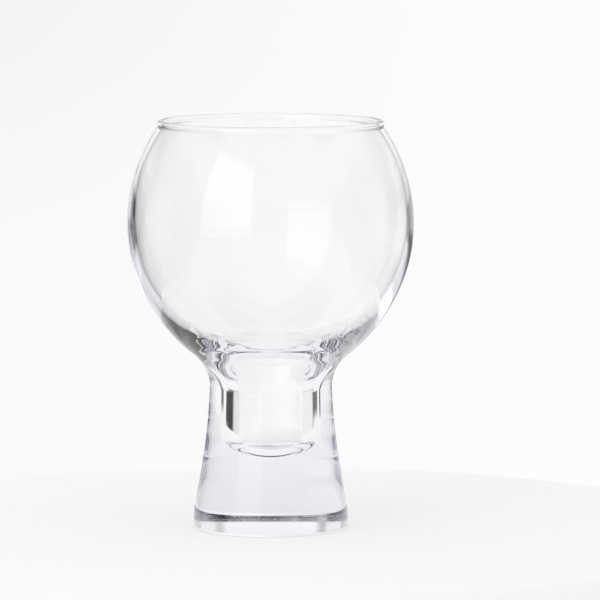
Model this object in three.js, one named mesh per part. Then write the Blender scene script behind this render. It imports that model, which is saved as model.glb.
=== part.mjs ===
import * as THREE from "three";

// A drinking glass: a round bubble bowl on a short hollow stem with a heavy foot, all of one
// clear glass. Lengths are in millimetres. It stands on z = 0 and is turned about the Z axis.
// Its three sections meet on level planes: the foot and the stem in the solid glass under the
// well, and the stem and the bowl across the funnel between the well and the bowl's inside.

// Heights, each measured from the one before it
const footHeight = 14; // resting plane to the foot's upper plane
const wellFloorGlass = 11.8; // solid glass from that plane to the well's floor
const wellDepth = 39.6; // well's floor to the plane where the stem and the bowl meet
const bowlHeight = 87.9; // that plane to the top of the rim

// Inside of the bowl: an oval that runs from the funnel to its widest point, and another on
// to the rim
const bowlInnerRadius = 50.9;
const bowlInnerRise = 51.5; // from the stem's upper plane to its widest point
const bowlInnerReach = 53.2; // from its widest point to its lowest, if the well weren't there
const bowlInnerTaper = 0.01; // nearly a true ellipse

// Outside of the bowl: an oval with slightly flatter flanks, widest a little lower
const bowlWall = 2.8; // at the widest point
const bowlWidestDrop = 2.2; // the outside's widest point below the inside's
const bowlOuterTaper = 0.16; // also of the inside's upper half

// Rim: a round bead, thicker than the wall under it
const rimInset = 11.1; // its outer edge inside the bowl's widest radius
const rimThickness = 2.7;
const rimOuterJoin = 42; // degrees below the bead's middle where a groove parts it from the wall
const rimInnerJoin = 33; // the same inside, where the wall runs smoothly into it

// Well: the hollow of the stem
const wellNeckRadius = 12.2; // at the top of its wall
const wellSpread = 0.2; // wider above its floor than there
const wellEndHeight = 8; // height of its rounded end
const wellEndTaper = 0; // a true ellipse

// Funnel: a smooth curve, tangent to the well's wall and to the bowl's inside
const funnelDrop = 14.4; // its foot below the stem's upper plane
const funnelRadius = 26; // where it reaches the bowl's inside
const funnelWallPull = 10; // how far it follows the wall
const funnelBowlPull = 8; // how far it follows the bowl's inside

// Outside of the stem and foot: a neck fillet, one long flare, then the foot's rounded edge
const stemWall = 10.55; // from the well's neck radius to the flare's narrowest radius
const flareStartDrop = 2.4; // flare's narrowest point below the stem's upper plane
const shoulderSpread = 6.15; // from that radius to where the neck fillet meets the bowl
const footSpread = 6.3; // from that radius to the foot's widest radius
const footCrownRound = 45;
const footCrownHeight = 7.6; // where the flare would reach the foot's widest radius
const footEdgeRound = 1.25;
const restingRingWidth = 4;
const soleRecess = 0.8; // push-up in the middle of the sole

// Fineness of the faceted solids
const aroundSteps = 64;
const bowlSteps = 9;
const rimSteps = 6;
const neckSteps = 6;
const flareSteps = 7;
const funnelSteps = 6;
const wellEndSteps = 7;
const smallRoundSteps = 4;

const wellFloorZ = footHeight + wellFloorGlass;
const stemTopZ = wellFloorZ + wellDepth;
const rimTopZ = stemTopZ + bowlHeight;

const point = (radius, height) => new THREE.Vector2(radius, height);

// Evenly spaced numbers from start to end, both ends included
function spaced(start, end, steps) {
  return Array.from({ length: steps + 1 }, (_, i) => start + ((end - start) * i) / steps);
}

// An oval of revolution is {radius, centre, reach, taper}: widest at centre, closed at a
// distance of reach from it. A taper above 0 flattens its flanks, and one below 0 fills them.
function ovalRadius(oval, height) {
  const t = (height - oval.centre) / oval.reach;
  return oval.radius * Math.sqrt((1 - t * t) * (1 - oval.taper * t * t));
}

// How far from its widest point an oval narrows to a given radius, as a share of its reach
function shareAtRadius(radius, taper, narrowed) {
  const lost = 1 - (narrowed / radius) ** 2;
  const sum = 1 + taper;
  return Math.sqrt((2 * lost) / (sum + Math.sqrt(sum * sum - 4 * taper * lost)));
}

// Sideways change of an oval's radius for each millimetre of height
function ovalSlope(oval, height) {
  const t = (height - oval.centre) / oval.reach;
  const bend = 2 * oval.taper * t * t - oval.taper - 1;
  return (oval.radius ** 2 * t * bend) / (oval.reach * ovalRadius(oval, height));
}

// Points of an oval between two heights, closest together where it closes
function ovalPoints(oval, fromHeight, toHeight, steps) {
  const angle = (height) => Math.asin((height - oval.centre) / oval.reach);
  return spaced(angle(fromHeight), angle(toHeight), steps).map((a) => {
    const height = oval.centre + oval.reach * Math.sin(a);
    return point(ovalRadius(oval, height), height);
  });
}

// Points of an arc between two angles from the outward direction, in radians
function arcPoints(centre, radius, fromAngle, toAngle, steps) {
  return spaced(fromAngle, toAngle, steps).map((a) =>
    point(centre.x + radius * Math.cos(a), centre.y + radius * Math.sin(a)),
  );
}

const angleFrom = (centre, p) => Math.atan2(p.y - centre.y, p.x - centre.x);

// Inside of the bowl below its widest point
const bowlInside = {
  radius: bowlInnerRadius,
  centre: stemTopZ + bowlInnerRise,
  reach: bowlInnerReach,
  taper: bowlInnerTaper,
};

// Funnel between the well's wall and the bowl's inside, from the top down
const funnelShare = shareAtRadius(bowlInnerRadius, bowlInnerTaper, funnelRadius);
const funnelTop = point(funnelRadius, bowlInside.centre - funnelShare * bowlInnerReach);
const funnelFoot = point(wellNeckRadius, stemTopZ - funnelDrop);
const alongBowl = point(ovalSlope(bowlInside, funnelTop.y), 1).normalize();
const funnel = new THREE.CubicBezierCurve(
  funnelTop,
  funnelTop.clone().addScaledVector(alongBowl, -funnelBowlPull),
  point(wellNeckRadius, funnelFoot.y + funnelWallPull),
  funnelFoot,
);

// Share of the funnel that lies above the stem's upper plane
function funnelShareAbove(height) {
  let [above, below] = [0, 1];
  for (let round = 0; round < 40; round += 1) {
    const middle = (above + below) / 2;
    [above, below] = funnel.getPoint(middle).y > height ? [middle, below] : [above, middle];
  }
  return above;
}
const funnelSplit = funnelShareAbove(stemTopZ);

// Points of the funnel between two shares of it
function funnelPoints(start, end) {
  return spaced(start, end, funnelSteps).map((t) => funnel.getPoint(t));
}

// Outside of the bowl: it starts at the neck fillet
const waistRadius = wellNeckRadius + stemWall;
const shoulder = point(waistRadius + shoulderSpread, stemTopZ);
const bowlOuterRadius = bowlInnerRadius + bowlWall;
const bowlOuterCentre = bowlInside.centre - bowlWidestDrop;
const rimBead = rimThickness / 2;
const rimCentre = point(bowlOuterRadius - rimInset - rimBead, rimTopZ - rimBead);
const rimStartAngle = -THREE.MathUtils.degToRad(rimOuterJoin);
const rimEndAngle = Math.PI + THREE.MathUtils.degToRad(rimInnerJoin);
const [rimGroove, rimInnerEnd] = arcPoints(rimCentre, rimBead, rimStartAngle, rimEndAngle, 1);

// Half of one of the bowl's ovals, above or below its widest point, through one end point
function halfThrough(radius, centre, end) {
  const share = shareAtRadius(radius, bowlOuterTaper, end.x);
  return { radius, centre, reach: Math.abs(end.y - centre) / share, taper: bowlOuterTaper };
}
const bowlOutsideLow = halfThrough(bowlOuterRadius, bowlOuterCentre, shoulder);
const bowlOutsideHigh = halfThrough(bowlOuterRadius, bowlOuterCentre, rimGroove);
const bowlInsideHigh = halfThrough(bowlInnerRadius, bowlInside.centre, rimInnerEnd);

// Flare: an arc, upright at the waist, whose centre lies outside the glass
const flareStartZ = stemTopZ - flareStartDrop;
const flareFall = flareStartZ - footCrownHeight;
const flareRadius = (flareFall ** 2 + footSpread ** 2) / (2 * footSpread);
const flareCentre = point(waistRadius + flareRadius, flareStartZ);

// Neck fillet: an arc tangent to the bowl at the shoulder and to the flare below it
const shoulderNormal = point(1, -ovalSlope(bowlOutsideLow, stemTopZ)).normalize();
const toShoulder = shoulder.clone().sub(flareCentre);
const neckRadius = (flareRadius ** 2 - toShoulder.lengthSq())
  / (2 * (toShoulder.dot(shoulderNormal) + flareRadius));
const neckCentre = shoulder.clone().addScaledVector(shoulderNormal, neckRadius);

// Foot's crown: an arc inside the glass, tangent to the flare and to the foot's widest radius
const footRadius = waistRadius + footSpread;
const crownAcross = flareCentre.x - footRadius + footCrownRound;
const crownCentre = point(
  footRadius - footCrownRound,
  flareStartZ - Math.sqrt((flareRadius + footCrownRound) ** 2 - crownAcross ** 2),
);

// Angles on the flare's circle, where the neck, the foot's upper plane and the crown meet it
const flareTopAngle = angleFrom(flareCentre, neckCentre) + 2 * Math.PI;
const flareEndAngle = angleFrom(flareCentre, crownCentre) + 2 * Math.PI;
const footPlaneAngle = Math.PI + Math.asin((flareStartZ - footHeight) / flareRadius);

// A closed outline of radius and height, turned about the Z axis, as one named solid
function turned(name, outline, colour) {
  const shape = new THREE.LatheGeometry(outline, aroundSteps);
  shape.rotateX(Math.PI / 2);
  const material = new THREE.MeshStandardMaterial({
    color: colour, roughness: 0.04, metalness: 0, transparent: true, opacity: 0.35,
  });
  const mesh = new THREE.Mesh(shape, material);
  mesh.name = name;
  return mesh;
}

function makeBowl() {
  const outline = [
    ...ovalPoints(bowlOutsideLow, stemTopZ, bowlOuterCentre, bowlSteps),
    ...ovalPoints(bowlOutsideHigh, bowlOuterCentre, rimGroove.y, bowlSteps).slice(1),
    ...arcPoints(rimCentre, rimBead, rimStartAngle, rimEndAngle, rimSteps).slice(1),
    ...ovalPoints(bowlInsideHigh, rimInnerEnd.y, bowlInside.centre, bowlSteps).slice(1),
    ...ovalPoints(bowlInside, bowlInside.centre, funnelTop.y, bowlSteps).slice(1),
    ...funnelPoints(0, funnelSplit).slice(1),
  ];
  return turned("bowl", [...outline, outline[0]], 0xeef2f4);
}

function makeStem() {
  const wellRadius = wellNeckRadius + wellSpread;
  const wellEnd = {
    radius: wellRadius, centre: wellFloorZ + wellEndHeight, reach: wellEndHeight, taper: wellEndTaper,
  };
  const shoulderAngle = angleFrom(neckCentre, shoulder);
  const outline = [
    point(0, footHeight),
    ...arcPoints(flareCentre, flareRadius, footPlaneAngle, flareTopAngle, flareSteps),
    ...arcPoints(neckCentre, neckRadius, flareTopAngle, shoulderAngle, neckSteps).slice(1),
    ...funnelPoints(funnelSplit, 1),
    ...ovalPoints(wellEnd, wellEnd.centre, wellFloorZ, wellEndSteps),
  ];
  outline[outline.length - 1] = point(0, wellFloorZ);
  return turned("stem", outline, 0xe9eef2);
}

function makeFoot() {
  const edgeCentre = point(footRadius - footEdgeRound, footEdgeRound);
  const crownTopAngle = angleFrom(crownCentre, flareCentre);
  const recessRadius = edgeCentre.x - restingRingWidth;
  const pushUp = (radius) => point(radius, soleRecess * (1 - (radius / recessRadius) ** 2));
  const outline = [
    ...spaced(0, recessRadius, smallRoundSteps).map(pushUp),
    ...arcPoints(edgeCentre, footEdgeRound, -Math.PI / 2, 0, smallRoundSteps),
    ...arcPoints(crownCentre, footCrownRound, 0, crownTopAngle, smallRoundSteps),
    ...arcPoints(flareCentre, flareRadius, flareEndAngle, footPlaneAngle, smallRoundSteps).slice(1),
    point(0, footHeight),
  ];
  return turned("foot", outline, 0xe4eaef);
}

const drinkingGlass = new THREE.Group();
drinkingGlass.add(makeBowl(), makeStem(), makeFoot());

export default drinkingGlass;
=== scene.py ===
"""A clear drinking glass, a round bubble bowl on a short hollow stem, in a plain pale studio.

Lengths are in metres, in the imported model's frame: the glass is turned about the Z axis and
stands on z = 0. The camera looks along +Y.
"""

import math

import bpy
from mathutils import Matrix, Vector


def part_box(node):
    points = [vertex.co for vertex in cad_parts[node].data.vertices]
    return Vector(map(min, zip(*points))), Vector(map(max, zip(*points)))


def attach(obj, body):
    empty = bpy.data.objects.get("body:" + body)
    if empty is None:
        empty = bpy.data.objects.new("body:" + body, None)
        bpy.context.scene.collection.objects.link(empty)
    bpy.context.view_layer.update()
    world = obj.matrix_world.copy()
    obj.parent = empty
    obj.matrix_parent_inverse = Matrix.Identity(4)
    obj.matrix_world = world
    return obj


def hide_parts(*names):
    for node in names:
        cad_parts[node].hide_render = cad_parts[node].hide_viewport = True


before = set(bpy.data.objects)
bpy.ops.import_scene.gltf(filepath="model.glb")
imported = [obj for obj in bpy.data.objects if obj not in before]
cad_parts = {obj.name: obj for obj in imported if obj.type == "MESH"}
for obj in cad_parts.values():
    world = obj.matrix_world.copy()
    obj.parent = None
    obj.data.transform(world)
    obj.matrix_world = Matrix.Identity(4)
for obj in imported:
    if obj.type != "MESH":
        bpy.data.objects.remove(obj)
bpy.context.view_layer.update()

bl_info = {
    "name": "Bubble-bowled drinking glass",
    "version": (1, 0, 0),
    "blender": (4, 5, 0),
    "location": "3D View > Sidebar > Glass",
    "description": "Blows the clear glass round its packed solids and sets up its studio",
    "category": "Object",
}

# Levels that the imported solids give
FOOT_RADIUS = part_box("foot")[1].x
BOWL_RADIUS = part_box("bowl")[1].x
STEM_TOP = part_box("bowl")[0].z
RIM_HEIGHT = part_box("bowl")[1].z

# Steps along each run of the outline, from the sole's middle to the well's floor
SOLE_STEPS = 24
RING_STEPS = 4
EDGE_STEPS = 12
CROWN_STEPS = 14
FLARE_STEPS = 44
NECK_STEPS = 24
LOW_STEPS = 56
HIGH_STEPS = 60
CORNER_STEPS = 8
RIM_STEPS = 32
INSIDE_HIGH_STEPS = 48
INSIDE_STEPS = 72
FUNNEL_STEPS = 40
WELL_STEPS = 20
WELL_END_STEPS = 36

# Points of the outline that are nearer than this are one point, in metres
SAME_POINT = 1e-6

WHITE = (1, 1, 1, 1)


def length(name, description, default, **limits):
    """A property that is a length in metres."""
    return bpy.props.FloatProperty(
        name=name, description=description, default=default, precision=5,
        subtype="DISTANCE", unit="LENGTH", **limits)


def share(name, description, default, **limits):
    """A property that is a plain number."""
    return bpy.props.FloatProperty(
        name=name, description=description, default=default, precision=4, **limits)


def turn(name, description, degrees):
    """A property that is an angle."""
    return bpy.props.FloatProperty(
        name=name, description=description, default=math.radians(degrees), subtype="ANGLE",
        unit="ROTATION")


def colour(name, description, default):
    """A property that is a linear colour."""
    return bpy.props.FloatVectorProperty(
        name=name, description=description, default=default, subtype="COLOR",
        size=3, min=0, max=1)


class GlassShape(bpy.types.PropertyGroup):
    """Sizes of the glass that its packed levels don't give"""

    bowl_wall: length("Bowl wall", "Thickness at the widest point", 0.0028)
    bowl_inner_rise: length("Inner rise", "Inside's widest point over the stem's top", 0.0515)
    bowl_inner_reach: length("Inner reach", "Inside's half height, if it closed", 0.0532)
    bowl_inner_taper: share("Inner taper", "Above 0 flattens the inside's flanks", 0.01)
    bowl_outer_taper: share("Outer taper", "Above 0 flattens the outside's flanks", 0.16)
    bowl_widest_drop: length("Widest drop", "Outside's widest point under the inside's", 0.0022)
    rim_inset: length("Rim inset", "Rim's outer edge inside the bowl's radius", 0.0111)
    rim_thickness: length("Rim bead", "Thickness of the round rim", 0.0027)
    rim_outer_join: turn("Rim groove", "Below the bead's middle, where the groove is", 42)
    rim_inner_join: turn("Rim inside", "Below the bead's middle, where the inside meets it", 33)
    rim_groove_round: length("Groove round", "Reach of the soft corner in the groove", 0.0004)
    well_neck_radius: length("Well's neck", "Hollow stem's radius at its wall's top", 0.0122)
    well_spread: length("Well spread", "Wider above its floor than at its neck", 0.0002)
    well_floor: length("Well floor", "Height of the hollow's floor", 0.0258)
    well_end_height: length("Well end", "Height of the hollow's rounded end", 0.008)
    well_end_taper: share("Well end taper", "Below 0 makes the end blunt", 0.0)
    funnel_drop: length("Funnel's foot", "Its place under the stem's top", 0.0144)
    funnel_radius: length("Funnel's radius", "Where it reaches the bowl's inside", 0.026)
    funnel_wall_pull: length("Funnel along wall", "How far it follows the wall", 0.010)
    funnel_bowl_pull: length("Funnel along bowl", "How far it follows the bowl", 0.008)
    flare_drop: length("Waist", "Narrowest point of the stem under its top", 0.0024)
    shoulder_spread: length("Shoulder", "Neck fillet's width over the waist", 0.00615)
    foot_spread: length("Foot spread", "Foot's radius over the waist's", 0.0063)
    crown_round: length("Foot's side", "Radius of the foot's upright side", 0.045)
    crown_height: length("Flare foot", "Where the flare would reach the foot's radius", 0.0076)
    edge_round: length("Foot's edge", "Radius of the foot's lower edge", 0.00125)
    ring_width: length("Resting ring", "Width of the flat ring that it stands on", 0.004)
    sole_recess: length("Push-up", "Height of the hollow under the foot", 0.0008)
    around: bpy.props.IntProperty(
        name="Around", description="Faces round the glass", default=240, min=32, max=512)


class GlassFinish(bpy.types.PropertyGroup):
    """Look of the glass itself"""

    tint: colour("Depth tint", "Colour that thick glass takes", (0.72, 0.72, 0.9))
    depth: share("Depth of tint", "Absorption for each metre of glass", 3.0, min=0)
    ior: share("Index", "Index of refraction", 1.52, min=1, max=2)
    polish: share("Polish", "Roughness of the fire-polished surface", 0.0, min=0, max=0.1)
    marks: share("Handling marks", "Extra roughness where it was wiped", 0.03, min=0, max=0.5)
    wear: share("Resting wear", "Extra roughness on the resting ring", 0.35, min=0, max=1)
    ripple: length("Ripple", "Height of the blown surface's slow waves", 0.00001, min=0)
    shoulder_ripple: length("Shoulder ripple", "Height of the waves at the neck", 0.00004, min=0)


class StudioLook(bpy.types.PropertyGroup):
    """Tones of the studio"""

    white: share("Backdrop", "Tone of the backdrop and the table", 0.962, min=0, max=2)
    slant: share("Backdrop slant", "Backdrop's tone, brighter for each degree right", 0.004)
    corner: share("Backdrop corner", "Loss of tone in its upper left corner", 0.05, min=0)
    front: share("Room in front", "Tone of the room round the camera", 0.76, min=0, max=2)
    walls: share("Walls", "Tone of the room at the sides", 0.6, min=0, max=2)
    overhead: share("Overhead", "Tone of the backdrop high up", 0.66, min=0, max=2)
    ceiling: share("Ceiling", "Tone of the dark ceiling", 0.05, min=0, max=2)
    gloom: share("Gloom", "Part of the light that the left wall swallows", 0.35, min=0, max=1)
    plain: share("Plain light", "Strength of the even light on everything", 0.8, min=0, max=3)
    key: share("Key light", "Brightness of the softbox's face", 0.75, min=0, max=5)
    table_radius: length("Table", "Radius of the round table", 0.172)
    table: colour("Table colour", "Colour of the matt table", (0.5, 0.5, 0.5))


def spaced(start, end, steps):
    """Evenly spaced numbers from start to end, both ends included."""
    return [start + (end - start) * i / steps for i in range(steps + 1)]


class Oval:
    """An oval of revolution, widest at its centre and closed at a distance of reach from it.

    A taper above 0 flattens its flanks, and one below 0 fills them.
    """

    def __init__(self, radius, centre, reach, taper):
        self.radius = radius
        self.centre = centre
        self.reach = reach
        self.taper = taper

    def at(self, height):
        t = (height - self.centre) / self.reach
        return self.radius * math.sqrt(max((1 - t * t) * (1 - self.taper * t * t), 0))

    def slope(self, height):
        t = (height - self.centre) / self.reach
        bend = 2 * self.taper * t * t - self.taper - 1
        return self.radius ** 2 * t * bend / (self.reach * self.at(height))

    def points(self, start, end, steps):
        angles = [
            math.asin(max(-1, min(1, (h - self.centre) / self.reach))) for h in (start, end)]
        heights = [self.centre + self.reach * math.sin(a) for a in spaced(*angles, steps)]
        return [Vector((self.at(h), h)) for h in heights]


def narrowing(radius, taper, narrowed):
    """How far from its widest point an oval narrows to a radius, as a share of its reach."""
    lost = 1 - (narrowed / radius) ** 2
    total = 1 + taper
    return math.sqrt(2 * lost / (total + math.sqrt(total * total - 4 * taper * lost)))


def arc(centre, radius, start, end, steps):
    """Points of an arc between two angles from the outward direction."""
    return [
        centre + radius * Vector((math.cos(a), math.sin(a))) for a in spaced(start, end, steps)]


def angle_to(centre, point):
    """Angle from 0 to a full turn at which a point is seen from a centre."""
    away = point - centre
    return math.atan2(away.y, away.x) % (2 * math.pi)


def soft_corner(before, after, reach):
    """Two runs that meet in a corner, joined by a curve that starts and ends near it."""
    corner = after[0]
    before = [p for p in before if (p - corner).length > reach]
    after = [p for p in after if (p - corner).length > reach]
    bend = []
    for t in spaced(0, 1, CORNER_STEPS):
        first = before[-1].lerp(corner, t)
        bend.append(first.lerp(corner.lerp(after[0], t), t))
    return before + bend + after


def cubic(ends, steps):
    """Points of a cubic curve from its first to its fourth control point."""
    first, second, third, fourth = ends
    points = []
    for t in spaced(0, 1, steps):
        rest = 1 - t
        points.append(
            rest ** 3 * first + 3 * rest ** 2 * t * second + 3 * rest * t ** 2 * third
            + t ** 3 * fourth)
    return points


def bowl_inside(shape):
    """Oval of the bowl's inside below its widest point."""
    return Oval(
        BOWL_RADIUS - shape.bowl_wall, STEM_TOP + shape.bowl_inner_rise,
        shape.bowl_inner_reach, shape.bowl_inner_taper)


def half_through(shape, radius, centre, end):
    """Half of one of the bowl's ovals, above or below its widest point, through its end."""
    gone = narrowing(radius, shape.bowl_outer_taper, end.x)
    return Oval(radius, centre, abs(end.y - centre) / gone, shape.bowl_outer_taper)


def rim_bead(shape):
    """The rim's bead, from the groove outside it to where the bowl's inside meets it."""
    bead = shape.rim_thickness / 2
    centre = Vector((BOWL_RADIUS - shape.rim_inset - bead, RIM_HEIGHT - bead))
    return arc(centre, bead, -shape.rim_outer_join, math.pi + shape.rim_inner_join, RIM_STEPS)


def outside_runs(shape, groove):
    """Runs up the outside: sole, resting ring, foot, flare, neck and bowl, up to the groove."""
    waist = FOOT_RADIUS - shape.foot_spread
    shoulder = Vector((waist + shape.shoulder_spread, STEM_TOP))
    widest = bowl_inside(shape).centre - shape.bowl_widest_drop
    low = half_through(shape, BOWL_RADIUS, widest, shoulder)
    high = half_through(shape, BOWL_RADIUS, widest, groove)

    # The flare is upright at the waist, and the neck fillet touches it and the bowl
    flare_top = STEM_TOP - shape.flare_drop
    fall = flare_top - shape.crown_height
    flare_radius = (fall ** 2 + shape.foot_spread ** 2) / (2 * shape.foot_spread)
    flare_centre = Vector((waist + flare_radius, flare_top))
    normal = Vector((1, -low.slope(STEM_TOP))).normalized()
    away = shoulder - flare_centre
    neck_radius = (flare_radius ** 2 - away.length_squared) / (
        2 * (away.dot(normal) + flare_radius))
    neck_centre = shoulder + neck_radius * normal

    # The foot's side touches the flare and the foot's radius
    across = flare_centre.x - FOOT_RADIUS + shape.crown_round
    crown_centre = Vector((
        FOOT_RADIUS - shape.crown_round,
        flare_top - math.sqrt((flare_radius + shape.crown_round) ** 2 - across ** 2)))
    edge_centre = Vector((FOOT_RADIUS - shape.edge_round, shape.edge_round))
    hollow = edge_centre.x - shape.ring_width
    return [
        [Vector((r, shape.sole_recess * (1 - (r / hollow) ** 2)))
         for r in spaced(0, hollow, SOLE_STEPS)],
        [Vector((r, 0)) for r in spaced(hollow, edge_centre.x, RING_STEPS)],
        arc(edge_centre, shape.edge_round, -math.pi / 2, 0, EDGE_STEPS),
        arc(crown_centre, shape.crown_round, 0, angle_to(crown_centre, flare_centre),
            CROWN_STEPS),
        arc(flare_centre, flare_radius, angle_to(flare_centre, crown_centre),
            angle_to(flare_centre, neck_centre), FLARE_STEPS),
        arc(neck_centre, neck_radius, angle_to(flare_centre, neck_centre),
            angle_to(neck_centre, shoulder), NECK_STEPS),
        low.points(STEM_TOP, widest, LOW_STEPS),
        high.points(widest, groove.y, HIGH_STEPS),
    ]


def inside_runs(shape, rim_end):
    """Runs down the inside: bowl, funnel, the well's wall and its rounded floor."""
    inside = bowl_inside(shape)
    high = half_through(shape, inside.radius, inside.centre, rim_end)
    gone = narrowing(inside.radius, inside.taper, shape.funnel_radius)
    funnel_top = Vector((shape.funnel_radius, inside.centre - gone * inside.reach))
    funnel_foot = Vector((shape.well_neck_radius, STEM_TOP - shape.funnel_drop))
    along_bowl = Vector((inside.slope(funnel_top.y), 1)).normalized()

    well_radius = shape.well_neck_radius + shape.well_spread
    well_end = Oval(
        well_radius, shape.well_floor + shape.well_end_height,
        shape.well_end_height, shape.well_end_taper)
    return [
        high.points(rim_end.y, inside.centre, INSIDE_HIGH_STEPS),
        inside.points(inside.centre, funnel_top.y, INSIDE_STEPS),
        cubic((
            funnel_top, funnel_top - shape.funnel_bowl_pull * along_bowl,
            funnel_foot + Vector((0, shape.funnel_wall_pull)), funnel_foot), FUNNEL_STEPS),
        [Vector(p) for p in zip(
            spaced(shape.well_neck_radius, well_radius, WELL_STEPS),
            spaced(funnel_foot.y, well_end.centre, WELL_STEPS))],
        well_end.points(well_end.centre, shape.well_floor, WELL_END_STEPS),
    ]


def glass_outline(shape):
    """Outline as (radius, height), from the sole's middle up the outside and down the inside."""
    rim = rim_bead(shape)
    *below, flank = outside_runs(shape, rim[0])
    flank_and_rim = soft_corner(flank, rim, shape.rim_groove_round)
    outline = []
    for run in (*below, flank_and_rim, *inside_runs(shape, rim[-1])):
        for point in run:
            if not outline or (point - outline[-1]).length > SAME_POINT:
                outline.append(point)
    outline[0].x = 0
    outline[-1].x = 0
    return outline


def turned_mesh(name, outline, around):
    """A closed smooth mesh, turned about the Z axis from an outline that ends on the axis."""
    rings = outline[1:-1]
    vertices = [(0, 0, outline[0].y), (0, 0, outline[-1].y)]
    for point in rings:
        for i in range(around):
            angle = 2 * math.pi * i / around
            vertices.append((point.x * math.cos(angle), point.x * math.sin(angle), point.y))

    def corner(ring, i):
        return 2 + ring * around + i % around

    faces = []
    for i in range(around):
        faces.append((0, corner(0, i + 1), corner(0, i)))
        faces.append((1, corner(len(rings) - 1, i), corner(len(rings) - 1, i + 1)))
    for ring in range(len(rings) - 1):
        for i in range(around):
            faces.append((
                corner(ring, i), corner(ring, i + 1), corner(ring + 1, i + 1), corner(ring + 1, i)))
    mesh = bpy.data.meshes.new(name)
    mesh.from_pydata(vertices, [], faces)
    mesh.shade_smooth()
    return mesh


def add(tree, kind, inputs=None, **settings):
    """Adds a node, sets its properties and fills its inputs with values or other outputs."""
    node = tree.nodes.new(kind)
    for key, value in settings.items():
        setattr(node, key, value)
    for key, value in (inputs or {}).items():
        socket = node.inputs[key]
        if isinstance(value, bpy.types.NodeSocket):
            tree.links.new(value, socket)
        else:
            socket.default_value = value
    return node


def calc(tree, operation, *values):
    """Output of a Math node."""
    node = add(tree, "ShaderNodeMath", dict(enumerate(values)), operation=operation)
    return node.outputs[0]


def product(tree, *values):
    """Product of two or more values."""
    total = values[0]
    for value in values[1:]:
        total = calc(tree, "MULTIPLY", total, value)
    return total


def darkened(tree, tone, part):
    """A tone that loses a part of itself."""
    return product(tree, tone, calc(tree, "SUBTRACT", 1, part))


def ramped(tree, value, start, end):
    """Smooth step of a value from 0 at start to 1 at end."""
    node = add(tree, "ShaderNodeMapRange", {
        "Value": value, "From Min": start, "From Max": end}, interpolation_type="SMOOTHSTEP")
    return node.outputs["Result"]


def between(tree, value, low, high, soft):
    """1 where a value lies between two limits, with soft edges."""
    return product(
        tree,
        ramped(tree, value, low - soft, low + soft),
        ramped(tree, value, high + soft, high - soft))


def blended(tree, factor, first, second):
    """Number between two, by a factor from 0 to 1."""
    node = add(tree, "ShaderNodeMix", {0: factor, 2: first, 3: second}, data_type="FLOAT")
    return node.outputs[0]


def at_least(tree, bounces, count):
    """1 where a number of bounces reaches a count."""
    return calc(tree, "GREATER_THAN", bounces, count - 0.5)


def fewer_than(tree, bounces, count):
    """1 where a number of bounces stays under a count."""
    return calc(tree, "LESS_THAN", bounces, count - 0.5)


def noise(tree, place, scale, detail, roughness=0.5):
    """Value of a Noise Texture at a place."""
    return add(tree, "ShaderNodeTexNoise", {
        "Vector": place, "Scale": scale, "Detail": detail, "Roughness": roughness}).outputs["Fac"]


def new_group(name, inputs, outputs):
    """An empty shader node group with number inputs as (name, default) and number outputs."""
    group = bpy.data.node_groups.new(name, "ShaderNodeTree")
    for label, default in inputs:
        socket = group.interface.new_socket(label, in_out="INPUT", socket_type="NodeSocketFloat")
        socket.default_value = default
    for label in outputs:
        group.interface.new_socket(label, in_out="OUTPUT", socket_type="NodeSocketFloat")
    return group, group.nodes.new("NodeGroupInput"), group.nodes.new("NodeGroupOutput")


def object_place(tree):
    """Position on the object, in metres."""
    return add(tree, "ShaderNodeTexCoord").outputs["Object"]


def height_on_object(tree):
    """Height above the resting plane, in metres."""
    return add(tree, "ShaderNodeSeparateXYZ", {0: object_place(tree)}).outputs["Z"]


# Noise of the blown surface's waves, and how softly their stronger band ends, in metres
WAVE_DETAIL = 1.0
WAVE_ROUGHNESS = 0.4
WAVE_BAND_SOFT = 0.003

# Wipes are this much longer round the glass than up it, and fade over this part of the clouds
WIPE_STRETCH = (1, 1, 3.5)
WIPE_FADE = 0.25

# Values of the scuffs' noise between which bare glass turns into a scuff
SCUFF_STEP = (0.42, 0.62)


def blown_waves_group():
    """Height of the slow waves that blowing leaves, stronger in one band of heights."""
    group, into, out = new_group(
        "Blown waves",
        [("Waves per metre", 40), ("Height", 0.00001), ("Band low", 0.06), ("Band high", 0.075),
         ("Band height", 0.00004), ("Band waves per metre", 160)],
        ["Height"])
    place = object_place(group)
    slow = noise(group, place, into.outputs["Waves per metre"], WAVE_DETAIL, WAVE_ROUGHNESS)
    quick = noise(group, place, into.outputs["Band waves per metre"], WAVE_DETAIL, WAVE_ROUGHNESS)
    up = height_on_object(group)

    def band_edge(limit, soft):
        return ramped(
            group, up, calc(group, "SUBTRACT", limit, soft), calc(group, "ADD", limit, soft))

    band = product(
        group, band_edge(into.outputs["Band low"], WAVE_BAND_SOFT),
        band_edge(into.outputs["Band high"], -WAVE_BAND_SOFT))
    everywhere = product(group, slow, into.outputs["Height"])
    banded = product(group, quick, band, into.outputs["Band height"])
    group.links.new(calc(group, "ADD", everywhere, banded), out.inputs["Height"])
    return group


def handling_marks_group():
    """Faint cloudy wipes, long round the glass, as a mask from 0 to 1."""
    group, into, out = new_group(
        "Handling marks", [("Wipes per metre", 30), ("Cover", 0.35)], ["Mask"])
    stretched = add(group, "ShaderNodeMapping", {
        "Vector": object_place(group), "Scale": WIPE_STRETCH})
    clouds = noise(
        group, stretched.outputs[0], into.outputs["Wipes per metre"],
        detail=5.0, roughness=0.6)
    bare = calc(group, "SUBTRACT", 1, into.outputs["Cover"])
    mask = ramped(group, clouds, bare, calc(group, "ADD", bare, WIPE_FADE))
    group.links.new(mask, out.inputs["Mask"])
    return group


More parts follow.
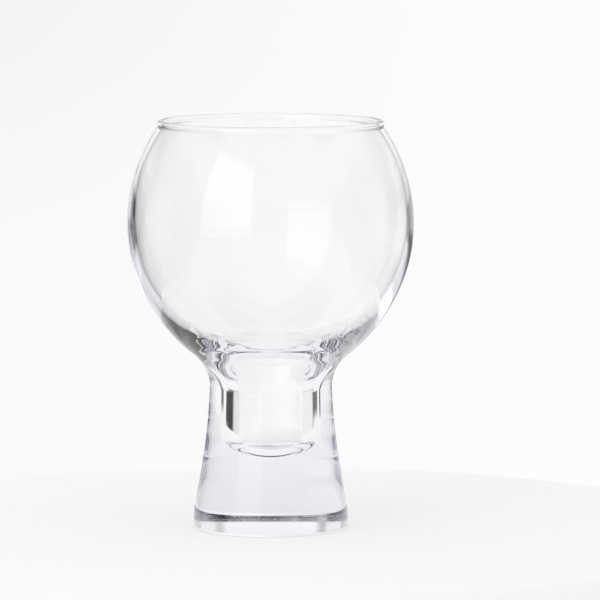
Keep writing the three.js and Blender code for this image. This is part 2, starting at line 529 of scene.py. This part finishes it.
def resting_wear_group():
    """Fine scuffs where the glass meets the table, as a mask from 0 to 1."""
    group, into, out = new_group(
        "Resting wear", [("Reach", 0.0006), ("Scuffs per metre", 2500)], ["Mask"])
    near = add(group, "ShaderNodeMapRange", {
        "Value": height_on_object(group), "From Min": into.outputs["Reach"], "From Max": 0.0})
    scuffs = noise(
        group, object_place(group), into.outputs["Scuffs per metre"],
        detail=3.0, roughness=0.7)
    mask = product(group, near.outputs["Result"], ramped(group, scuffs, *SCUFF_STEP))
    group.links.new(mask, out.inputs["Mask"])
    return group


def clear_glass_material(finish):
    """Clear fire-polished glass, tinted only by its own thickness."""
    material = bpy.data.materials.new("clear_glass")
    material.use_nodes = True
    tree = material.node_tree
    tree.nodes.clear()
    waves = add(tree, "ShaderNodeGroup", node_tree=blown_waves_group())
    waves.inputs["Height"].default_value = finish.ripple
    waves.inputs["Band height"].default_value = finish.shoulder_ripple
    marks = add(tree, "ShaderNodeGroup", node_tree=handling_marks_group())
    wear = add(tree, "ShaderNodeGroup", node_tree=resting_wear_group())
    roughness = calc(
        tree, "ADD",
        calc(tree, "MULTIPLY_ADD", marks.outputs["Mask"], finish.marks, finish.polish),
        product(tree, wear.outputs["Mask"], finish.wear))
    bump = add(tree, "ShaderNodeBump", {
        "Height": waves.outputs["Height"], "Distance": 1.0, "Strength": 1.0})
    surface = add(tree, "ShaderNodeBsdfPrincipled", {
        "Base Color": WHITE, "Roughness": roughness, "IOR": finish.ior,
        "Transmission Weight": 1.0, "Normal": bump.outputs["Normal"]})
    inside = add(tree, "ShaderNodeVolumeAbsorption", {
        "Color": (*finish.tint, 1), "Density": finish.depth})
    out = add(tree, "ShaderNodeOutputMaterial")
    tree.links.new(surface.outputs["BSDF"], out.inputs["Surface"])
    tree.links.new(inside.outputs["Volume"], out.inputs["Volume"])
    return material


class OBJECT_OT_blow_glass(bpy.types.Operator):
    """Turn the whole glass in one closed piece and give it its finish"""

    bl_idname = "object.blow_drinking_glass"
    bl_label = "Blow the glass"

    def execute(self, context):
        shape = context.scene.glass_shape
        mesh = turned_mesh("drinking_glass", glass_outline(shape), shape.around)
        mesh.materials.append(clear_glass_material(context.scene.glass_finish))
        glass = bpy.data.objects.new("drinking_glass", mesh)
        context.scene.collection.objects.link(glass)
        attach(glass, "root")
        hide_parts("bowl", "stem", "foot")
        return {"FINISHED"}


# Camera that took the photograph, found from the ellipses of the rim and the foot
CAMERA_DISTANCE = 1.912
CAMERA_HEIGHT = 0.279
CAMERA_TILT = math.radians(5.774)
CAMERA_TURN = math.radians(0.33)
CAMERA_LENS = 307.6
SENSOR_WIDTH = 36.0

# Softbox in front on the left: place, direction and size of its face
SOFTBOX_AZIMUTH = math.radians(-147)
SOFTBOX_FACING = math.radians(-125)
SOFTBOX_DISTANCE = 1.186
SOFTBOX_MIDDLE = 0.56
SOFTBOX_SIZE = (0.95, 1.18)
KEY_ON_TABLE = 0.1  # part of its brightness that falls on the table

# Table top: gap under the glass, thickness, rounded edge, faces round it and its grain
TABLE_GAP = 0.0001
TABLE_THICKNESS = 0.02
TABLE_EDGE = 0.004
TABLE_EDGE_STEPS = 8
TABLE_AROUND = 96
TABLE_GRAIN_PER_METRE = 400.0
TABLE_GRAIN_DETAIL = 3.0
TABLE_ROUGHNESS = 0.8

# In the glass, the table glows as a painted reflection of the walls from this far to the side,
# nearer where it is further back
TABLE_FAR_SIDE = (0.135, 0.16)
TABLE_FAR_BACK = 0.5

# The surroundings that the glass mirrors, in degrees to the right of the backdrop's middle
# and above the horizon. Two numbers are a step's start and end, three are a band with its
# softness, and two bands, across and up, are a patch. A part says how strongly one counts.
BACKDROP_SIDE = (24, 31)
FRONT_SIDE = (120, 155)
GLOOM_PATCH = ((-64, -30, 7), (-34, 45, 12))
GLOOM_CORE = ((-57, -33, 4), (-19, 4, 6))
GLOOM_CORE_PART = 0.8
OVERHEAD_STEP = (5, 30)
OVERHEAD_PART = 0.8
CEILING_RISE = (42, 50)
CEILING_ASIDE = (130, 105)
# A darker patch of the right wall, and painted shade that darkens it more for rays mirrored this
# many times
DARK_WALL = ((82, 130, 4), (-6, 22, 3))
DARK_WALL_PART = 0.15
DARK_WALL_PAINTED_SHADE_PART = 0.5
PAINTED_SHADE_MIRRORS = 7

# Bright lamps in front of the walls, one band low on each side and one higher on both
LAMP_RIGHT = (35, 85, 3)
LAMP_LEFT = (-90, -56, 3)
LAMP_LEFT_PART = 0.7
LAMP_RISE = (-17, -4, 2)
HIGH_LAMP_ASIDE = (34, 56, 3)
HIGH_LAMP_RISE = (6, 14, 2)
LAMP_PART = 0.8

# The floor's edge goes from the first rise to the second between these distances aside
FLOOR_ASIDE = (98, 122)
FLOOR_RISE = (-35, -9)
FLOOR_SOFT = 1.5

# Painted shade in the thick foot: rays that it mirrors from the first to before the second
# count find the room dim, but for two windows and a paler side
MANY_MIRRORS = (6, 16)
FOOT_PAINTED_SHADE = 0.98
WINDOW = (-78, -36, 4)
LOW_WINDOW = (-118, -70, 6)
LOW_WINDOW_RISE = (18, 12)
LOW_WINDOW_PART = 0.75
WINDOW_PART = 0.93
PALE_SIDE = (55, 105, 6)
PALE_SIDE_RISE = (40, 30)
PALE_SIDE_PART = 0.15

# Painted shade: two dark stands, shown only by rays that cross the glass's skin fewer times than
# this
LEFT_STAND = ((-51, -17, 2), (-13.7, -4, 1))
LEFT_STAND_PART = 0.97
RIGHT_STAND = ((2, 31, 2), (-12.4, -6, 1))
RIGHT_STAND_PART = 0.85
STAND_CROSSINGS = 4

# The backdrop seen straight: limits of its slant, its dim upper left corner, and the painted
# shade that rays which cross the glass's skin this often, as at the rim, find over its top
SLANT_LIMITS = (-10, 8)
CORNER_RISE = (-5.5, -2)
CORNER_ACROSS = (3, -4)
OVER_ASIDE = (2, 6)
OVER_RISE = (0, 14, 1)
RIM_PAINTED_SHADE = 0.75
OVER_CROSSINGS = 4

# Bounces enough for the foot's many mirrorings
MIRROR_BOUNCES = 64
CROSSING_BOUNCES = 24


def make_camera(scene):
    """Camera at the photograph's place and angle."""
    data = bpy.data.cameras.new("camera")
    data.lens = CAMERA_LENS
    data.sensor_width = SENSOR_WIDTH
    camera = bpy.data.objects.new("camera", data)
    camera.location = (0, -CAMERA_DISTANCE, CAMERA_HEIGHT)
    camera.rotation_euler = (math.pi / 2 - CAMERA_TILT, 0, -CAMERA_TURN)
    scene.collection.objects.link(camera)
    scene.camera = camera


def seen_rays(tree):
    """The Light Path node, and 1 for rays that show the studio, straight or by the glass."""
    path = add(tree, "ShaderNodeLightPath")
    either = calc(
        tree, "MAXIMUM", path.outputs["Is Camera Ray"], path.outputs["Is Glossy Ray"])
    return path, calc(tree, "MAXIMUM", either, path.outputs["Is Transmission Ray"])


def table_material(look):
    """Matt pale table, with the glow of the backdrop's tone for rays that show it."""
    material = bpy.data.materials.new("pale_table")
    material.use_nodes = True
    tree = material.node_tree
    tree.nodes.clear()
    grain = noise(tree, object_place(tree), TABLE_GRAIN_PER_METRE, TABLE_GRAIN_DETAIL)
    matt = add(tree, "ShaderNodeBsdfDiffuse", {
        "Color": (*look.table, 1), "Roughness": product(tree, grain, TABLE_ROUGHNESS)})
    path, seen = seen_rays(tree)
    lit = look.table[0] * (look.plain + KEY_ON_TABLE * look.key)
    glow = add(tree, "ShaderNodeEmission", {
        "Color": WHITE, "Strength": product(tree, seen, look.white - lit)})
    both = add(tree, "ShaderNodeAddShader", {0: matt.outputs[0], 1: glow.outputs[0]})

    # Mirrored in the glass, the table is painted light: a glow at the backdrop's tone without its
    # shadow, and at its far sides a painted reflection of the walls
    place = add(tree, "ShaderNodeSeparateXYZ", {0: object_place(tree)})
    across = calc(
        tree, "MULTIPLY_ADD", place.outputs["Y"], TABLE_FAR_BACK,
        calc(tree, "ABSOLUTE", place.outputs["X"]))
    painted_walls_mask = product(
        tree, ramped(tree, across, *TABLE_FAR_SIDE),
        fewer_than(tree, path.outputs["Transmission Depth"], 1))
    # Painted light and painted reflection: the table seen in the glass glows at the backdrop's or
    # the walls' tone
    painted_mirror_glow = add(tree, "ShaderNodeEmission", {
        "Color": WHITE, "Strength": blended(tree, painted_walls_mask, look.white, look.walls)})
    mirrored = product(tree, seen, at_least(tree, path.outputs["Glossy Depth"], 1))
    shown = add(tree, "ShaderNodeMixShader", {
        0: mirrored, 1: both.outputs[0], 2: painted_mirror_glow.outputs[0]})
    out = add(tree, "ShaderNodeOutputMaterial")
    tree.links.new(shown.outputs[0], out.inputs["Surface"])
    return material


def make_table(scene, look):
    """Round table top, a hair under the resting ring."""
    radius = look.table_radius
    bottom = -TABLE_GAP - TABLE_THICKNESS
    edge_centre = Vector((radius - TABLE_EDGE, -TABLE_GAP - TABLE_EDGE))
    edge = arc(edge_centre, TABLE_EDGE, math.pi / 2, 0, TABLE_EDGE_STEPS)
    outline = [Vector((0, -TABLE_GAP)), *edge, Vector((radius, bottom)), Vector((0, bottom))]
    outline.reverse()
    table = bpy.data.objects.new("table", turned_mesh("table", outline, TABLE_AROUND))
    table.data.materials.append(table_material(look))
    scene.collection.objects.link(table)


def level_direction(azimuth):
    """Level direction at an angle to the right of the backdrop's middle."""
    return Vector((math.sin(azimuth), math.cos(azimuth), 0))


def make_softbox(scene, look):
    """Tall upright softbox in front on the left."""
    width, height = SOFTBOX_SIZE
    data = bpy.data.lights.new("softbox", "AREA")
    data.shape = "RECTANGLE"
    data.size = width
    data.size_y = height
    data.energy = look.key * math.pi * width * height
    softbox = bpy.data.objects.new("softbox", data)
    away = level_direction(SOFTBOX_AZIMUTH)
    facing = level_direction(SOFTBOX_FACING)
    softbox.location = away * SOFTBOX_DISTANCE + Vector((0, 0, SOFTBOX_MIDDLE))
    softbox.rotation_euler = facing.to_track_quat("Z", "Y").to_euler()
    scene.collection.objects.link(softbox)


class Rays:
    """What the world's nodes know of each ray: its direction in degrees, and its bounces."""

    def __init__(self, tree):
        way = add(tree, "ShaderNodeSeparateXYZ", {
            0: add(tree, "ShaderNodeTexCoord").outputs["Generated"]})
        degree = math.pi / 180
        self.azimuth = calc(tree, "DIVIDE", calc(
            tree, "ARCTAN2", way.outputs["X"], way.outputs["Y"]), degree)
        self.rise = calc(tree, "DIVIDE", calc(tree, "ARCSINE", way.outputs["Z"]), degree)
        self.aside = calc(tree, "ABSOLUTE", self.azimuth)
        path, self.seen = seen_rays(tree)
        self.mirrors = path.outputs["Glossy Depth"]
        self.crossings = path.outputs["Transmission Depth"]


def patch(tree, rays, bands):
    """1 in a patch of directions, with soft edges."""
    across, up = bands
    return product(tree, between(tree, rays.azimuth, *across), between(tree, rays.rise, *up))


def walls_and_gloom(tree, look, rays):
    """Backdrop, walls and the room in front, darker in a patch on the left and high up."""
    room = blended(tree, ramped(tree, rays.aside, *BACKDROP_SIDE), look.white, look.walls)
    room = blended(tree, ramped(tree, rays.aside, *FRONT_SIDE), room, look.front)
    gloom = product(tree, patch(tree, rays, GLOOM_PATCH), look.gloom)
    core = product(tree, patch(tree, rays, GLOOM_CORE), GLOOM_CORE_PART)
    room = darkened(tree, room, calc(tree, "MAXIMUM", gloom, core))
    overhead = product(tree, ramped(tree, rays.rise, *OVERHEAD_STEP), OVERHEAD_PART)
    return blended(tree, overhead, room, look.overhead)


def lamps(tree, rays):
    """1 where a lamp shines in front of the walls."""
    left = product(tree, between(tree, rays.azimuth, *LAMP_LEFT), LAMP_LEFT_PART)
    either = calc(tree, "MAXIMUM", between(tree, rays.azimuth, *LAMP_RIGHT), left)
    low = product(tree, either, between(tree, rays.rise, *LAMP_RISE))
    high = product(
        tree, between(tree, rays.aside, *HIGH_LAMP_ASIDE),
        between(tree, rays.rise, *HIGH_LAMP_RISE))
    return calc(tree, "MAXIMUM", low, high)


def floor(tree, rays):
    """1 below the floor's edge, which is lower behind the glass than in front."""
    edge = add(tree, "ShaderNodeMapRange", {
        "Value": rays.aside, "From Min": FLOOR_ASIDE[0], "From Max": FLOOR_ASIDE[1],
        "To Min": FLOOR_RISE[0], "To Max": FLOOR_RISE[1]})
    over = calc(tree, "SUBTRACT", rays.rise, edge.outputs["Result"])
    return ramped(tree, over, FLOOR_SOFT, -FLOOR_SOFT)


def ceiling(tree, rays):
    """1 on the dark ceiling, which ends before the room in front."""
    return product(
        tree, ramped(tree, rays.rise, *CEILING_RISE), ramped(tree, rays.aside, *CEILING_ASIDE))


def dark_wall_and_painted_shade(tree, rays):
    """Part of the light that the right wall takes, and painted shade that takes more from rays
    mirrored many times.
    """
    # Painted shade: rays mirrored this many times find the right wall darker
    painted_shade_rays = at_least(tree, rays.mirrors, PAINTED_SHADE_MIRRORS)
    return product(
        tree, patch(tree, rays, DARK_WALL),
        calc(tree, "MULTIPLY_ADD", painted_shade_rays, DARK_WALL_PAINTED_SHADE_PART, DARK_WALL_PART))


def painted_foot_shade(tree, rays):
    """Painted shade: part of the light taken from rays mirrored many times in the thick foot."""
    # Painted shade: rays mirrored this many times find the room dimmed, less in the windows and the
    # paler side
    first, end = MANY_MIRRORS
    many = product(
        tree, at_least(tree, rays.mirrors, first), fewer_than(tree, rays.mirrors, end))
    low = product(
        tree, between(tree, rays.azimuth, *LOW_WINDOW),
        ramped(tree, rays.rise, *LOW_WINDOW_RISE), LOW_WINDOW_PART)
    window = calc(tree, "MAXIMUM", between(tree, rays.azimuth, *WINDOW), low)
    side = product(
        tree, between(tree, rays.azimuth, *PALE_SIDE), ramped(tree, rays.rise, *PALE_SIDE_RISE))
    kept = calc(
        tree, "ADD", product(tree, window, WINDOW_PART), product(tree, side, PALE_SIDE_PART))
    return product(tree, many, calc(tree, "SUBTRACT", FOOT_PAINTED_SHADE, kept))


def painted_stand_shade(tree, rays):
    """Painted shade: part of the light that two dark stand shapes take, where only the outer skin
    shows them.
    """
    # Painted shade: two dark patches, shown only to rays that cross the glass's skin few times
    left = product(tree, patch(tree, rays, LEFT_STAND), LEFT_STAND_PART)
    right = product(tree, patch(tree, rays, RIGHT_STAND), RIGHT_STAND_PART)
    direct = fewer_than(tree, rays.crossings, STAND_CROSSINGS)
    return product(tree, calc(tree, "ADD", left, right), direct)


def mirrored_room(tree, look, rays):
    """Tone of the room that the glass mirrors, with painted shade for some numbers of bounces."""
    room = walls_and_gloom(tree, look, rays)
    room = blended(tree, product(tree, lamps(tree, rays), LAMP_PART), room, look.white)
    room = blended(tree, floor(tree, rays), room, look.white)
    room = blended(tree, ceiling(tree, rays), room, look.ceiling)
    room = darkened(tree, room, dark_wall_and_painted_shade(tree, rays))
    room = darkened(tree, room, painted_foot_shade(tree, rays))
    return darkened(tree, room, painted_stand_shade(tree, rays))


def seen_backdrop(tree, look, rays):
    """Tone of the backdrop seen straight or through the glass, with painted shade over its top."""
    lowest, highest = SLANT_LIMITS
    slant = product(tree, look.slant, calc(
        tree, "MINIMUM", calc(tree, "MAXIMUM", rays.azimuth, lowest), highest))
    corner = product(
        tree, ramped(tree, rays.rise, *CORNER_RISE),
        ramped(tree, rays.azimuth, *CORNER_ACROSS), look.corner)
    tone = calc(tree, "ADD", look.white, calc(tree, "SUBTRACT", slant, corner))

    # Painted shade over the backdrop's top, for rays bent by both walls of the rim
    over = product(
        tree, ramped(tree, rays.aside, *OVER_ASIDE), between(tree, rays.rise, *OVER_RISE))
    through = at_least(tree, rays.crossings, OVER_CROSSINGS)
    return darkened(tree, tone, product(tree, over, RIM_PAINTED_SHADE, through))


def make_surroundings(scene, look):
    """World by direction: a white backdrop behind, a dimmer room in front, a dark ceiling, and
    painted shade by bounce count.
    """
    world = bpy.data.worlds.new("studio")
    world.use_nodes = True
    scene.world = world
    tree = world.node_tree
    tree.nodes.clear()
    rays = Rays(tree)
    shown = blended(
        tree, at_least(tree, rays.mirrors, 1), seen_backdrop(tree, look, rays),
        mirrored_room(tree, look, rays))
    strength = blended(tree, rays.seen, look.plain, shown)
    background = add(tree, "ShaderNodeBackground", {"Color": WHITE, "Strength": strength})
    out = add(tree, "ShaderNodeOutputWorld")
    tree.links.new(background.outputs[0], out.inputs["Surface"])


class OBJECT_OT_glass_studio(bpy.types.Operator):
    """Set up the camera, the table, the softbox and the surroundings"""

    bl_idname = "object.glass_studio"
    bl_label = "Set up the studio"

    def execute(self, context):
        scene = context.scene
        look = scene.studio_look
        make_camera(scene)
        make_table(scene, look)
        make_softbox(scene, look)
        make_surroundings(scene, look)
        scene.view_settings.view_transform = "Standard"
        scene.cycles.glossy_bounces = MIRROR_BOUNCES
        scene.cycles.transmission_bounces = CROSSING_BOUNCES
        scene.cycles.max_bounces = MIRROR_BOUNCES + CROSSING_BOUNCES
        return {"FINISHED"}


class VIEW3D_PT_drinking_glass(bpy.types.Panel):
    """Sizes, finish and studio of the drinking glass"""

    bl_label = "Drinking glass"
    bl_space_type = "VIEW_3D"
    bl_region_type = "UI"
    bl_category = "Glass"

    def draw(self, context):
        layout = self.layout
        layout.operator(OBJECT_OT_glass_studio.bl_idname)
        layout.operator(OBJECT_OT_blow_glass.bl_idname)
        for settings in (
                context.scene.glass_shape, context.scene.glass_finish, context.scene.studio_look):
            box = layout.box()
            for name in settings.__annotations__:
                box.prop(settings, name)


CLASSES = (
    GlassShape, GlassFinish, StudioLook,
    OBJECT_OT_glass_studio, OBJECT_OT_blow_glass, VIEW3D_PT_drinking_glass,
)


def register():
    """Adds the classes and the scene's settings."""
    for each in CLASSES:
        bpy.utils.register_class(each)
    bpy.types.Scene.glass_shape = bpy.props.PointerProperty(type=GlassShape)
    bpy.types.Scene.glass_finish = bpy.props.PointerProperty(type=GlassFinish)
    bpy.types.Scene.studio_look = bpy.props.PointerProperty(type=StudioLook)


def unregister():
    """Takes the scene's settings and the classes away."""
    del bpy.types.Scene.studio_look
    del bpy.types.Scene.glass_finish
    del bpy.types.Scene.glass_shape
    for each in reversed(CLASSES):
        bpy.utils.unregister_class(each)


def main():
    """Builds the glass and its studio."""
    register()
    bpy.ops.object.glass_studio()
    bpy.ops.object.blow_drinking_glass()


if __name__ == "__main__":
    main()
